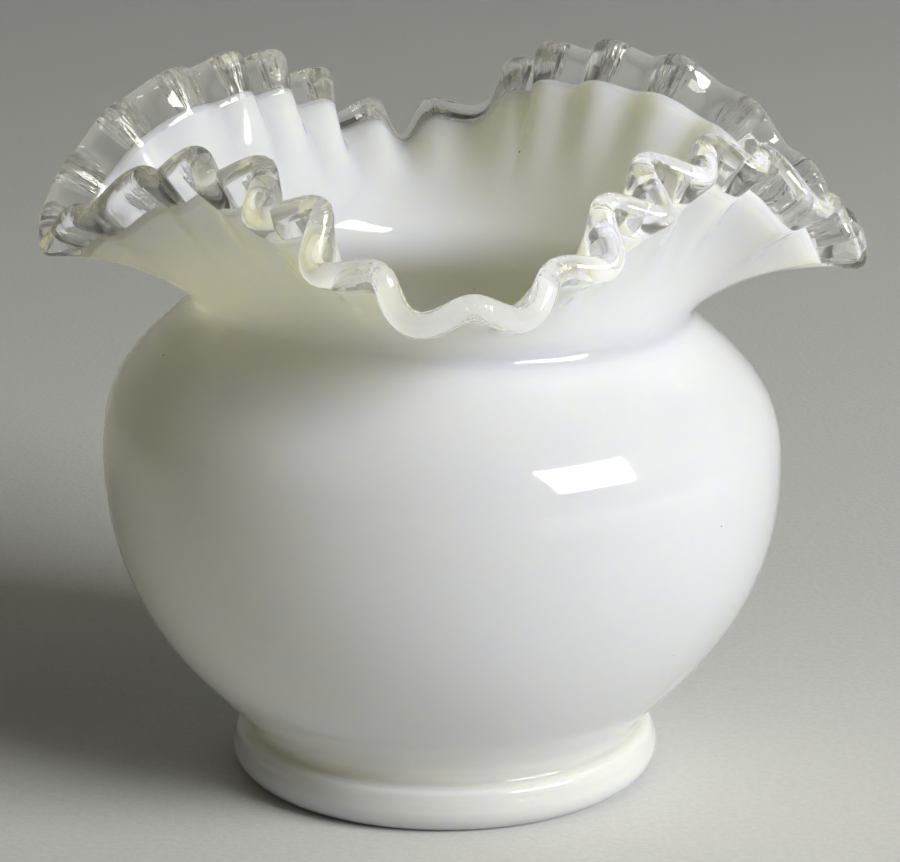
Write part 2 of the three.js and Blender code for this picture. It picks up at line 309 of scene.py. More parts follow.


# %% [markdown]
# ## Opal glass
# Milk glass is white because tiny crystals in it scatter the light. A wall of it is not quite
# opaque: light that enters on the lit side comes out on the shaded side, and it comes out warm,
# because blue light is scattered back first. A white gloss paint would look hard and chalky here,
# so the light travels inside the wall, further for red than for blue. The colour drifts a little,
# in clouds, a shallow bump makes the reflections swim, and a few specks of melt show as dots. The
# foot is a gather of its own and much thicker than the wall. It lets less light through, so it
# would come out brighter, and painted shade darkens and cools its colour to hold it back.

# %% Opal glass
OPAL_WHITE = (0.91, 0.905, 0.81, 1.0)
OPAL_CREAM = (0.90, 0.89, 0.785, 1.0)
SPECK_COLOUR = (0.25, 0.2, 0.12, 1.0)
OPAL_DEPTH = 22.0 * MM
OPAL_DEPTH_BY_COLOUR = (1.0, 0.94, 0.50)
# Painted shade: the foot's colour is multiplied by this grey-blue, which darkens it.
FOOT_PAINTED_SHADE = (0.70, 0.71, 0.82, 1.0)
FOOT_PAINTED_SHADE_TOP = 12.0 * MM
FOOT_PAINTED_SHADE_FULL = 8.0 * MM
SPECK_SCALE = 100.0
SPECK_SIZE = 0.025
CLOUD_RANGE = (0.35, 0.7)
OPAL_SMEAR_RANGE = (0.3, 0.7)
OPAL_RIPPLE_SCALE = 38.0
OPAL_RIPPLE_HEIGHT = 0.4 * MM
OPAL_ROUGHNESS = (0.04, 0.1)
GLASS_IOR = 1.5


def make_opal():
    material, tree, shader, marks = new_material("opal glass")
    marks.inputs["Ripple Scale"].default_value = OPAL_RIPPLE_SCALE
    cloudy = map_range(tree, marks.outputs["Clouds"], *CLOUD_RANGE)
    colour = mix_colours(tree, cloudy, OPAL_WHITE, OPAL_CREAM)
    place = add_node(tree, "ShaderNodeTexCoord").outputs["Object"]
    cells = add_node(tree, "ShaderNodeTexVoronoi", None, {"Vector": place, "Scale": SPECK_SCALE})
    is_speck = math_node(tree, "LESS_THAN", cells.outputs["Distance"], SPECK_SIZE)
    speckled = mix_colours(tree, is_speck, colour, SPECK_COLOUR)
    height = add_node(tree, "ShaderNodeSeparateXYZ", None, {0: place}).outputs["Z"]
    # Painted shade on the foot: it fades in from the top height down to the full height and stays
    # full below.
    foot_painted_shade_mask = map_range(tree, height, FOOT_PAINTED_SHADE_TOP, FOOT_PAINTED_SHADE_FULL)
    shaded = add_node(
        tree, "ShaderNodeMix", {"data_type": "RGBA", "blend_type": "MULTIPLY"},
        {0: foot_painted_shade_mask, 6: speckled, 7: FOOT_PAINTED_SHADE},
    ).outputs[2]
    tree.links.new(shaded, shader.inputs["Base Color"])
    roughness = map_range(tree, marks.outputs["Smears"], *OPAL_SMEAR_RANGE, *OPAL_ROUGHNESS)
    tree.links.new(roughness, shader.inputs["Roughness"])
    rippled = bump(tree, marks.outputs["Ripples"], OPAL_RIPPLE_HEIGHT)
    tree.links.new(rippled, shader.inputs["Normal"])
    shader.inputs["IOR"].default_value = GLASS_IOR
    shader.inputs["Subsurface Weight"].default_value = 1.0
    shader.inputs["Subsurface Radius"].default_value = OPAL_DEPTH_BY_COLOUR
    shader.inputs["Subsurface Scale"].default_value = OPAL_DEPTH
    return material


opal_glass = make_opal()
print("finish:", opal_glass.name)

# %% [markdown]
# ## Clear glass
# The edge is colourless glass with a full round rim. Its look comes almost all from its shape,
# because it bends the room behind it into bright and dark bands. Where the crimping tool bit, on
# the ridges of the wave, it left lumps and fine ribs that run outwards. The mesh carries an
# attribute called ridge, one on the ridges and minus one in the hollows, and the marks are shown
# only where it is high. A small share of the light is scattered and not let through, as by a thin
# veil of fine wear. A glass shader casts a full shadow, which would leave the white glass under it
# dark, so shadow rays see it as transparent, with a loss at each face.

# %% Clear glass
CLEAR_TINT = (0.92, 0.92, 0.93, 1.0)
CLEARNESS = 0.95
SHADOW_TINT = (0.62, 0.62, 0.62, 1.0)
CLEAR_SMEAR_RANGE = (0.35, 0.75)
CLEAR_ROUGHNESS = (0.0, 0.04)
BITE_ROUGHNESS = 0.18
BITE_START = 0.4
BITE_FULL = 0.85
CLEAR_RIPPLE_SCALE = 110.0
CLEAR_STREAK_SCALE = 1100.0
CLEAR_STREAK_LENGTH = 0.1
CLEAR_RIPPLE_HEIGHT = 0.3 * MM
RIB_HEIGHT = 0.7 * MM
LUMP_HEIGHT = 0.4 * MM


def make_clear():
    material, tree, shader, marks = new_material("clear glass")
    marks.inputs["Ripple Scale"].default_value = CLEAR_RIPPLE_SCALE
    marks.inputs["Streak Scale"].default_value = CLEAR_STREAK_SCALE
    marks.inputs["Streak Length"].default_value = CLEAR_STREAK_LENGTH
    shader.inputs["Base Color"].default_value = CLEAR_TINT
    shader.inputs["Transmission Weight"].default_value = CLEARNESS
    shader.inputs["IOR"].default_value = GLASS_IOR
    ridge = add_node(tree, "ShaderNodeAttribute", {"attribute_name": "ridge"}).outputs["Fac"]
    bitten = map_range(tree, ridge, BITE_START, BITE_FULL)
    smeared = map_range(tree, marks.outputs["Smears"], *CLEAR_SMEAR_RANGE, *CLEAR_ROUGHNESS)
    dulled = math_node(tree, "MULTIPLY", bitten, BITE_ROUGHNESS)
    tree.links.new(math_node(tree, "ADD", smeared, dulled), shader.inputs["Roughness"])
    rippled = bump(tree, marks.outputs["Ripples"], CLEAR_RIPPLE_HEIGHT)
    ribs = math_node(tree, "MULTIPLY", marks.outputs["Streaks"], bitten)
    ribbed = bump(tree, ribs, RIB_HEIGHT, rippled)
    lumps = math_node(tree, "MULTIPLY", marks.outputs["Lumps"], bitten)
    tree.links.new(bump(tree, lumps, LUMP_HEIGHT, ribbed), shader.inputs["Normal"])
    see_through = add_node(tree, "ShaderNodeBsdfTransparent", None, {0: SHADOW_TINT}).outputs[0]
    is_shadow = add_node(tree, "ShaderNodeLightPath").outputs["Is Shadow Ray"]
    shaders = {0: is_shadow, 1: shader.outputs[0], 2: see_through}
    mixed = add_node(tree, "ShaderNodeMixShader", None, shaders).outputs[0]
    tree.links.new(mixed, tree.nodes["Material Output"].inputs["Surface"])
    return material


clear_glass = make_clear()
print("finish:", clear_glass.name)

# %% [markdown]
# ## The outline of the globe
# Seen from the side, the globe is two curves that meet at the belly. Each is a cubic Bezier curve,
# which needs only the end points, the slopes there and how strongly each slope pulls.

# %% Sizes of the globe and the foot
FOOT_CENTRE_X = (foot_low.x + foot_high.x) / 2
FOOT_RADIUS = (foot_high.y - foot_low.y) / 2
FOOT_HEIGHT = foot_high.z
REST_INNER_RADIUS = 31.0 * MM
FOOT_JOIN_RADIUS = 36.1 * MM
FOOT_JOIN_SLOPE = 53.0
FOOT_JOIN_PULL = 11.3 * MM
BELLY_RADIUS = 65.0 * MM
BELLY_HEIGHT = 62.5 * MM
BELLY_PULL_DOWN = 31.6 * MM
BELLY_PULL_UP = 12.3 * MM
NECK_RADIUS = 46.3 * MM
NECK_HEIGHT = 93.1 * MM
SHOULDER_SLOPE = 38.0
SHOULDER_PULL = 20.8 * MM
WALL = 3.2 * MM
FLOOR_THICKNESS = 5.5 * MM
UNDERSIDE_HEIGHT = 4.0 * MM
SHOULDER_DIP = math.radians(2.0)
DIP_START_HEIGHT = 29.0 * MM
DIP_EASE = 0.7
AXIS_BOW = -0.5 * MM


# %% Curves
def step_from(point, slope, distance):
    """The point at a distance from another, with the slope in degrees above level, outwards."""
    slope = np.radians(slope)
    step = np.stack([np.cos(slope) * distance, np.sin(slope) * distance], axis=-1)
    return point + step


def bezier(corners, share):
    """A point of the cubic curve with these corners, and the unit way that it runs there."""
    a, b, c, d = corners
    rest = 1.0 - share
    point = rest**3 * a + 3 * rest**2 * share * b + 3 * rest * share**2 * c + share**3 * d
    way = rest**2 * (b - a) + 2 * rest * share * (c - b) + share**2 * (d - c)
    return point, unit(way)


def quadratic(a, b, c, share):
    """A point of the curve that leaves a towards b and comes to c from b."""
    return (1 - share) ** 2 * a + 2 * share * (1 - share) * b + share**2 * c


def unit(vectors):
    """The same directions with a length of one."""
    return vectors / np.linalg.norm(vectors, axis=-1, keepdims=True)


def leftwards(way):
    """The direction a quarter turn to the left of another, in the outline."""
    return np.stack([-way[..., 1], way[..., 0]], axis=-1)


foot_join = np.array([FOOT_JOIN_RADIUS, FOOT_HEIGHT])
belly = np.array([BELLY_RADIUS, BELLY_HEIGHT])
neck = np.array([NECK_RADIUS, NECK_HEIGHT])
LOWER_GLOBE = (
    foot_join, step_from(foot_join, FOOT_JOIN_SLOPE, FOOT_JOIN_PULL),
    step_from(belly, -90.0, BELLY_PULL_DOWN), belly,
)
UPPER_GLOBE = (
    belly, step_from(belly, 90.0, BELLY_PULL_UP),
    step_from(neck, -SHOULDER_SLOPE, SHOULDER_PULL), neck,
)
print("belly reaches", BELLY_RADIUS / MM, "mm from the axis")

# %% [markdown]
# ## The ruffle
# The rim is a circle that four pulls have drawn out and down into lobes. A lobe is strongest in
# its middle and fades on both sides like a bell curve. At every angle one more cubic curve carries
# the glass from the neck to the edge. Every lobe was pulled by eye, so each has its own sizes:
# angles, widths and slopes in degrees, and the drop, reach and depth of its crimps in millimetres.

# %% Sizes of the rim
RIM_RADIUS = 59.9 * MM
RIM_HEIGHT = 129.8 * MM
RIM_SLOPE = 53.0
FLARE_SLOPE = 82.0
RIM_RISE_RIGHT = 0.01
RIM_RISE_BACK = 0.029
CRIMP_DEPTH = 2.4 * MM
CREST_WIDTH = 8.5 * MM
LOBE_CREST_WIDTH = 7.3 * MM
CREST_THICKNESS = 4.6 * MM
LOBE_SHARPNESS = 2.2
REACH_SPREAD = 1.2
FLARE_START_PULL = 0.25
FLARE_END_PULL = 0.45
NECK_LIFT = WALL / 3
LOBES = (
    dict(angle=2.7, width=24.1, drop=27.6, reach=18.3, slope=8.0, flare_slope=38.0, crimp=2.4),
    dict(angle=96.7, width=19.9, drop=20.3, reach=17.5, slope=5.0, flare_slope=50.0, crimp=3.5),
    dict(angle=190.4, width=21.6, drop=19.3, reach=14.2, slope=15.0, flare_slope=42.0, crimp=2.4),
    dict(angle=273.0, width=23.2, drop=19.4, reach=18.4, slope=15.0, flare_slope=50.0, crimp=1.7),
)


# %% The edge of the rim
def rim_edge(angle):
    """What the edge does at these angles, in degrees: one array for each property."""
    edge = {
        "radius": np.full_like(angle, RIM_RADIUS),
        "height": np.full_like(angle, RIM_HEIGHT),
        "slope": np.full_like(angle, RIM_SLOPE),
        "flare_slope": np.full_like(angle, FLARE_SLOPE),
        "crimp": np.full_like(angle, CRIMP_DEPTH),
        "crest": np.full_like(angle, CREST_WIDTH),
    }
    for lobe in LOBES:
        turn = np.abs((angle - lobe["angle"] + 180.0) % 360.0 - 180.0)
        pull = np.exp(-((turn / lobe["width"]) ** LOBE_SHARPNESS))
        reach = np.exp(-((turn / (lobe["width"] * REACH_SPREAD)) ** LOBE_SHARPNESS))
        edge["radius"] += lobe["reach"] * MM * reach
        edge["height"] -= lobe["drop"] * MM * pull
        edge["slope"] += (lobe["slope"] - RIM_SLOPE) * pull
        edge["flare_slope"] += (lobe["flare_slope"] - FLARE_SLOPE) * pull
        edge["crimp"] += (lobe["crimp"] * MM - CRIMP_DEPTH) * pull
        edge["crest"] += (LOBE_CREST_WIDTH - CREST_WIDTH) * pull
    turn = np.radians(angle)
    rise = RIM_RISE_RIGHT * np.cos(turn) + RIM_RISE_BACK * np.sin(turn)
    edge["height"] += edge["radius"] * rise
    return edge


# %% [markdown]
# ## Where the crimps lie
# The crimping tool bites at steps that are even along the edge, roughly: where the edge is long,
# in the lobes, the maker went a little faster. So the crimps are even in a running sum of the
# square root of the edge's length. A short list of nudges then moves single crimps by a degree or
# two, and another makes single bites deeper or shallower, which is the difference between a
# hand-made rim and a cake tin.

# %% Places of the crimps
CRIMP_COUNT = 30
FIRST_CRIMP = 0.64
CRIMP_NUDGES = np.array([
    0, -1, -1, -0.5, 0.5, 0.5, -3.5, 0, -0.5, 0, -0.5, -2, -1, 1, 0,
    0, 0.5, 2, 0, 0.2, -0.5, -0.5, 1, 1, 0.3, -2, 0, -1, 2, 0,
])
CRIMP_STRENGTHS = np.array([
    1, 1, 1, 0.9, 1, 1, 0.8, 1, 1.1, 1.5, 1.1, 1, 0.5, 1, 1,
    1, 0.7, 0.5, 1.1, 1.6, 2, 1.5, 1, 1.2, 1.9, 1.8, 1.2, 1.1, 1.5, 1,
])


def even_angle(share):
    """The angle, in degrees, at a share of the way round that is counted in even crimps."""
    degrees = np.arange(361.0)
    edge = rim_edge(degrees)
    across = edge["radius"][:-1] * np.radians(1.0)
    length = np.sqrt(across**2 + np.diff(edge["radius"]) ** 2 + np.diff(edge["height"]) ** 2)
    running = np.concatenate([[0.0], np.cumsum(np.sqrt(length))])
    return np.interp(share * running[-1], running, degrees)


def crimp_value(values, share):
    """A value that is listed for each crimp, blended smoothly from each crimp to the next."""
    crimp = (share * CRIMP_COUNT - FIRST_CRIMP) % CRIMP_COUNT
    before = np.floor(crimp).astype(int)
    blend = crimp - before
    blend = blend * blend * (3 - 2 * blend)
    return (1 - blend) * values[before % CRIMP_COUNT] + blend * values[(before + 1) % CRIMP_COUNT]


COLUMNS_PER_CRIMP = 18
COLUMNS = CRIMP_COUNT * COLUMNS_PER_CRIMP
SHARE = np.arange(COLUMNS) / COLUMNS
ANGLE = even_angle(SHARE) + crimp_value(CRIMP_NUDGES, SHARE)
TURN = np.radians(ANGLE)
EDGE = rim_edge(ANGLE)
DEPTH = EDGE["crimp"] * crimp_value(CRIMP_STRENGTHS, SHARE)
TURN_PER_CRIMP = np.gradient(np.unwrap(TURN)) * COLUMNS_PER_CRIMP
print("columns:", COLUMNS, "edge from", round(EDGE["height"].min() / MM, 1), "to",
      round(EDGE["height"].max() / MM, 1), "mm high")


# %% Points in space
def in_space(outline, turn):
    """Points or directions of the outline, turned about the axis."""
    right = outline[..., 0] * np.cos(turn)
    back = outline[..., 0] * np.sin(turn)
    return np.stack([right, back, outline[..., 1]], axis=-1)


def dip_at(height):
    """Tilt of a level circle of the globe: the shoulder is a little lower on the right."""
    share = np.clip((height - DIP_START_HEIGHT) / (NECK_HEIGHT - DIP_START_HEIGHT), 0.0, 1.0)
    return SHOULDER_DIP * share**DIP_EASE


def on_globe(outline):
    """A point of the globe's outline as it lies at every column, with the dip."""
    outline = np.broadcast_to(outline, (COLUMNS, 2))
    dip = dip_at(outline[:, 1])
    right = outline[:, 0] * np.cos(TURN)
    back = outline[:, 0] * np.sin(TURN)
    return np.stack([right * np.cos(dip), back, outline[:, 1] - right * np.sin(dip)], axis=-1)


def flare_curves(angle):
    """The corners of the flare's curve at these angles, and how far it is from end to end."""
    edge = rim_edge(angle)
    radius = np.full_like(angle, NECK_RADIUS - NECK_LIFT)
    dip = radius * np.cos(np.radians(angle)) * math.sin(SHOULDER_DIP)
    start = np.stack([radius, NECK_HEIGHT + NECK_LIFT - dip], axis=-1)
    end = np.stack([edge["radius"], edge["height"]], axis=-1)
    chord = np.linalg.norm(end - start, axis=-1)
    leaving = step_from(start, edge["flare_slope"], chord * FLARE_START_PULL)
    arriving = step_from(end, edge["slope"], -chord * FLARE_END_PULL)
    return (start, leaving, arriving, end), chord


def on_flare(angle, along):
    """A point of the smooth flare at these angles, and the way up the glass there."""
    corners, _ = flare_curves(angle)
    outline, way = bezier(corners, along[:, None])
    turn = np.radians(angle)
    return in_space(outline, turn), in_space(way, turn)


CHORD = flare_curves(ANGLE)[1]
END_SPEED = 3 * CHORD * FLARE_END_PULL
print("flare is", round(CHORD.min() / MM, 1), "to", round(CHORD.max() / MM, 1), "mm long")

# %% [markdown]
# ## A skin in rows
# Each piece is a closed skin made of rows that go round the vase. A row holds its points before
# crimping, and what the crimping needs to know of them: how far along the flare they lie, how far
# out of the middle of the glass, and which ways run round the rim and out of the glass. The rim
# rises and falls between its lobes, so the way out of the glass is not simply away from the axis:
# it is square to both the way up the glass and the way along the edge. These are kept as
# attributes of the mesh. The crimping itself is left to a tree of geometry nodes, further down,
# so that its count and depth stay sizes that can be changed by hand.

# %% Rows
HALF_PROBE = 0.5


def plain_row(place):
    """A row that takes no crimps."""
    zeros = np.zeros(COLUMNS)
    upwards = np.tile([0.0, 0.0, 1.0], (COLUMNS, 1))
    around = in_space(np.tile([1.0, 0.0], (COLUMNS, 1)), TURN + math.pi / 2)
    return {
        "place": place, "aside": upwards, "around": around, "outwards": upwards,
        "along": zeros, "lift": zeros, "pitch": zeros + MM,
    }


def flare_row(along, lift, beyond=0.0):
    """A row of the flare: along is its share of the way to the edge, lift is the distance out of
    the middle of the glass, inwards, and beyond is a distance past the row along the glass."""
    along = np.broadcast_to(along, (COLUMNS,))
    lift = np.broadcast_to(lift, (COLUMNS,))
    place, way = on_flare(ANGLE, along)
    probe = on_flare(ANGLE + HALF_PROBE, along)[0] - on_flare(ANGLE - HALF_PROBE, along)[0]
    around = unit(probe)
    aside = unit(np.cross(way, around))
    outwards = np.cross(around, aside)
    length_per_turn = np.linalg.norm(probe, axis=-1) / math.radians(2 * HALF_PROBE)
    return {
        "place": place + aside * lift[:, None] + outwards * beyond,
        "aside": aside, "around": around, "outwards": outwards,
        "along": along, "lift": lift, "pitch": TURN_PER_CRIMP * length_per_turn,
    }


def back_from_edge(distance):
    """The share of the flare at a distance back from the edge."""
    return 1.0 - distance / END_SPEED


# %% Mesh from rows
def skin_faces(row_count, is_ring):
    """Four-cornered faces between rows. On a ring, the last row also joins the first."""
    here = np.arange(COLUMNS)
    after = (here + 1) % COLUMNS
    faces = []
    for row in range(row_count if is_ring else row_count - 1):
        low = row * COLUMNS
        high = ((row + 1) % row_count) * COLUMNS
        faces.append(np.stack([low + here, low + after, high + after, high + here], axis=-1))
    return np.concatenate(faces).tolist()


def cap_faces(row_count):
    """Triangles that close the first and the last row, each round a point of its own."""
    first_pole = row_count * COLUMNS
    last_row = first_pole - COLUMNS
    faces = []
    for here in range(COLUMNS):
        after = (here + 1) % COLUMNS
        faces.append([first_pole, after, here])
        faces.append([last_row + here, last_row + after, first_pole + 1])
    return faces


def skin(name, rows, is_ring=False, is_capped=False):
    """A mesh that is a skin over the rows, with what the crimping needs as attributes."""
    places = [row["place"] for row in rows]
    faces = skin_faces(len(rows), is_ring)
    if is_capped:
        places += [places[0].mean(axis=0, keepdims=True), places[-1].mean(axis=0, keepdims=True)]
        faces += cap_faces(len(rows))
    corners = np.concatenate(places)
    bow = AXIS_BOW * np.sin(np.pi * np.clip(corners[:, 2] / RIM_HEIGHT, 0.0, 1.0))
    corners[:, 0] += bow + FOOT_CENTRE_X
    mesh = bpy.data.meshes.new(name)
    mesh.from_pydata(corners.tolist(), [], faces)
    mesh.polygons.foreach_set("use_smooth", [True] * len(mesh.polygons))
    store_attributes(mesh, rows)
    return mesh


# %% Attributes of the rows
def store_attributes(mesh, rows):
    """Writes the numbers that the crimping and the finishes read."""
    round_trip = np.stack([np.cos(TURN), np.sin(TURN)], axis=-1) * RIM_RADIUS
    columns = {
        "share": [SHARE for row in rows],
        "depth": [DEPTH for row in rows],
        "flow": [np.column_stack([round_trip, row["along"] * CHORD]) for row in rows],
    }
    for name in ("along", "lift", "pitch", "aside", "around", "outwards"):
        columns[name] = [row[name] for row in rows]
    for name, values in columns.items():
        joined = np.concatenate(values)
        width = 1 if joined.ndim == 1 else joined.shape[1]
        full = np.zeros((len(mesh.vertices), width))
        full[: len(joined)] = joined.reshape(-1, width)
        kind, field = ("FLOAT", "value") if width == 1 else ("FLOAT_VECTOR", "vector")
        mesh.attributes.new(name, kind, "POINT").data.foreach_set(field, full.ravel())


# %% [markdown]
# ## The crimping, as geometry nodes
# A crimping tool presses a wave into the soft rim: nothing at the neck, full depth at the edge.
# Each point is pushed out of the glass by a cosine of its place round the rim. The two faces of
# the glass would lose their distance on the flanks of the wave if both simply rode on it, so the
# tree also leans each point's offset with the wave, by the share called Lean. It leaves the
# cosine behind as the attribute ridge, for the finish of the clear glass.

# %% Tree for the crimping
CRIMPING_SIZES = {
    "Crimp Count": float(CRIMP_COUNT), "First Crimp": FIRST_CRIMP, "Fade Start": 0.34,
    "Rise": 1.7, "Lean": 0.6,
}


def new_geometry_tree(name, sizes):
    """A tree of geometry nodes with a geometry, sizes and a material as its named inputs."""
    tree = bpy.data.node_groups.new(name, "GeometryNodeTree")
    tree.interface.new_socket("Geometry", in_out="INPUT", socket_type="NodeSocketGeometry")
    for size_name, value in sizes.items():
        socket = tree.interface.new_socket(
            size_name, in_out="INPUT", socket_type="NodeSocketFloat"
        )
        socket.default_value = value
    tree.interface.new_socket("Material", in_out="INPUT", socket_type="NodeSocketMaterial")
    tree.interface.new_socket("Geometry", in_out="OUTPUT", socket_type="NodeSocketGeometry")
    given = tree.nodes.new("NodeGroupInput").outputs
    result = tree.nodes.new("NodeGroupOutput").inputs
    return tree, given, result


def finish_tree(tree, geometry, given, result):
    """Ends a tree: instances become real and everything takes the material."""
    whole = add_node(tree, "GeometryNodeRealizeInstances", None, {0: geometry}).outputs[0]
    inputs = {"Geometry": whole, "Material": given["Material"]}
    finished = add_node(tree, "GeometryNodeSetMaterial", None, inputs).outputs[0]
    tree.links.new(finished, result["Geometry"])


def attribute(tree, name, kind="FLOAT"):
    """The output of a node that reads an attribute of the mesh."""
    node = add_node(tree, "GeometryNodeInputNamedAttribute", {"data_type": kind}, {"Name": name})
    return node.outputs["Attribute"]


def make_crimping():
    tree, given, result = new_geometry_tree("crimping", CRIMPING_SIZES)

    def times(first, second):
        return math_node(tree, "MULTIPLY", first, second)

    def scaled(direction, length):
        return vector_node(tree, "SCALE", {0: direction, "Scale": length})

    # The wave at this point
    aside = attribute(tree, "aside", "FLOAT_VECTOR")
    lift = attribute(tree, "lift")
    crimps = times(attribute(tree, "share"), given["Crimp Count"])
    phase = times(math_node(tree, "SUBTRACT", crimps, given["First Crimp"]), 2 * math.pi)
    fade = add_node(tree, "ShaderNodeMapRange", None, {
        "Value": attribute(tree, "along"), "From Min": given["Fade Start"], "From Max": 1.0,
    }).outputs[0]
    rise = math_node(tree, "POWER", fade, given["Rise"])
    ridge = times(rise, math_node(tree, "COSINE", phase))
    wave = times(attribute(tree, "depth"), ridge)

    # The glass leans with the slope of the wave
    turns_per_length = math_node(tree, "DIVIDE", 2 * math.pi, attribute(tree, "pitch"))
    steepness = times(times(attribute(tree, "depth"), rise), turns_per_length)
    slope = times(steepness, math_node(tree, "SINE", phase))
    sideways = scaled(attribute(tree, "around", "FLOAT_VECTOR"), times(slope, given["Lean"]))
    through = vector_node(tree, "NORMALIZE", {0: vector_node(tree, "ADD", {0: aside, 1: sideways})})

    out_of_glass = scaled(aside, math_node(tree, "SUBTRACT", wave, lift))
    offset = vector_node(tree, "ADD", {0: out_of_glass, 1: scaled(through, lift)})
    inputs = {"Geometry": given["Geometry"], "Offset": offset}
    moved = add_node(tree, "GeometryNodeSetPosition", None, inputs).outputs[0]
    marked = add_node(
        tree, "GeometryNodeStoreNamedAttribute", {"data_type": "FLOAT", "domain": "POINT"},
        {"Geometry": moved, "Name": "ridge", "Value": ridge},
    ).outputs[0]
    finish_tree(tree, marked, given, result)
    return tree


crimping = make_crimping()
print("tree:", crimping.name, len(crimping.nodes), "nodes")


# %% Run a tree on a mesh
def made_by_nodes(name, mesh, tree, values):
    """The plain mesh object that a tree of geometry nodes makes from a mesh."""
    source = bpy.data.objects.new(name + " source", mesh)
    bpy.context.collection.objects.link(source)
    modifier = source.modifiers.new(tree.name, "NODES")
    modifier.node_group = tree
    inputs = [item for item in tree.interface.items_tree if item.in_out == "INPUT"]
    sockets = {item.name: item.identifier for item in inputs}
    for socket_name, value in values.items():
        modifier[sockets[socket_name]] = value
    depsgraph = bpy.context.evaluated_depsgraph_get()
    made = bpy.data.meshes.new_from_object(source.evaluated_get(depsgraph), depsgraph=depsgraph)
    bpy.data.objects.remove(source)
    made.name = name
    piece = bpy.data.objects.new(name, made)
    bpy.context.collection.objects.link(piece)
    print(name, len(made.vertices), "points,", len(made.polygons), "faces")
    return piece


# %% [markdown]
# ## Opal body
# The body is one wall: up the outside from the middle of the underside, over the neck and the
# flare, round the edge, and down the inside to the floor. A lathe could turn the globe, but not
# the ruffle, and two meshes would show a seam at the neck. One skin in rows has none. The crease
# at the neck is softened by a short curve on each side, as hot glass does by itself. The opal ends
# in a round nose that lies inside the clear edge, so no gap shows where the two glasses meet.
#
# The foot ring was pressed on while both glasses were soft, so light passes between them as in
# one glass, and the skin takes in the ring too. Its side is nearly upright and stays so up to a
# soft shoulder, which is why the softbox shows in it twice. A hollow curve carries it up onto the
# globe. Underneath it is ground flat. Its side is a smooth curve through a few points, each given
# inwards from the widest radius and upwards.

# %% Opal body
LOWER_ROWS = 18
UPPER_ROWS = 13
FILLET_ROWS = 7
FLARE_ROWS = 20
NOSE_ROWS = 3
FLOOR_ROWS = 5
NECK_FILLET_OUTSIDE = 2.8 * MM
NECK_FILLET_INSIDE = 4.0 * MM
POLE_RADIUS = 0.5 * MM
FLOOR_CURVE_ROW = 2

CREST_START = back_from_edge(EDGE["crest"])
START_SPEED = 3 * CHORD * FLARE_START_PULL
SHOULDER_SPEED = 3 * SHOULDER_PULL


def wall_rows(side, fillet, corner):
    """Rows of the flare on one face of the wall, with the curve that softens the neck."""
    first_along = fillet / START_SPEED
    globe_point, globe_way = bezier(UPPER_GLOBE, 1 - fillet / SHOULDER_SPEED)
    if side > 0:
        globe_point = globe_point + leftwards(globe_way) * WALL
    before = on_globe(globe_point)
    after = flare_row(first_along, side * WALL / 2)["place"]
    rows = []
    for step in range(1, FILLET_ROWS):
        rows.append(plain_row(quadratic(before, on_globe(corner), after, step / FILLET_ROWS)))
    for step in range(FLARE_ROWS + 1):
        part = step / FLARE_ROWS
        rows.append(flare_row(first_along + (CREST_START - first_along) * part, side * WALL / 2))
    return rows


def globe_rows(curve, count, first, last, thickness):
    """Rows of one curve of the globe, moved inwards by a thickness."""
    rows = []
    for step in range(count):
        point, way = bezier(curve, first + (last - first) * step / (count - 1))
        rows.append(plain_row(on_globe(point + leftwards(way) * thickness)))
    return rows


def floor_rows():
    """The floor inside, level in the middle and curving up into the wall."""
    floor_height = UNDERSIDE_HEIGHT + FLOOR_THICKNESS
    point, way = bezier(LOWER_GLOBE, FLOOR_CURVE_ROW / (LOWER_ROWS - 1))
    wall_start = point + leftwards(way) * WALL
    corner = wall_start - way * (wall_start[1] - floor_height) / way[1]
    flat_edge = np.array([2 * corner[0] - wall_start[0], floor_height])
    rows = [plain_row(on_globe(np.array([POLE_RADIUS, floor_height])))]
    for step in range(FLOOR_ROWS):
        point = quadratic(flat_edge, corner, wall_start, step / FLOOR_ROWS)
        rows.append(plain_row(on_globe(point)))
    return rows


def nose_rows():
    """The round end of the opal glass, inside the clear edge."""
    rows = []
    for step in range(1, 2 * NOSE_ROWS):
        turn = math.pi * step / (2 * NOSE_ROWS)
        lift = -math.cos(turn) * WALL / 2
        rows.append(flare_row(CREST_START, lift, math.sin(turn) * WALL / 2))
    return rows


# %% Foot
FOOT_FILLET_REACH = 6.0 * MM
FOOT_FILLET_SHARE = FOOT_FILLET_REACH / (3 * FOOT_JOIN_PULL)
FOOT_FILLET_ROWS = 9
STEPS_PER_POINT = 3
INNER_ROUND = 1.0 * MM
GROUND_ROUND = 0.4 * MM
SIDE_POINTS = (
    (4.4, 0.0), (3.6, 0.12), (2.3, 0.8), (0.75, 2.3), (0.05, 4.2), (0.15, 5.6), (0.5, 6.6),
    (0.7, 7.4), (0.95, 8.1), (1.5, 8.6), (2.3, 8.75),
)


def through(points, steps):
    """Points of the smooth curve that passes through the given ones."""
    points = np.array(points)
    padded = np.concatenate([[2 * points[0] - points[1]], points, [2 * points[-1] - points[-2]]])
    curve = []
    for before, start, end, after in zip(padded, padded[1:], padded[2:], padded[3:]):
        for step in range(steps):
            t = step / steps
            curve.append(0.5 * (
                2 * start + (end - before) * t + (2 * before - 5 * start + 4 * end - after) * t**2
                + (3 * start - before - 3 * end + after) * t**3
            ))
    return curve + [points[-1]]


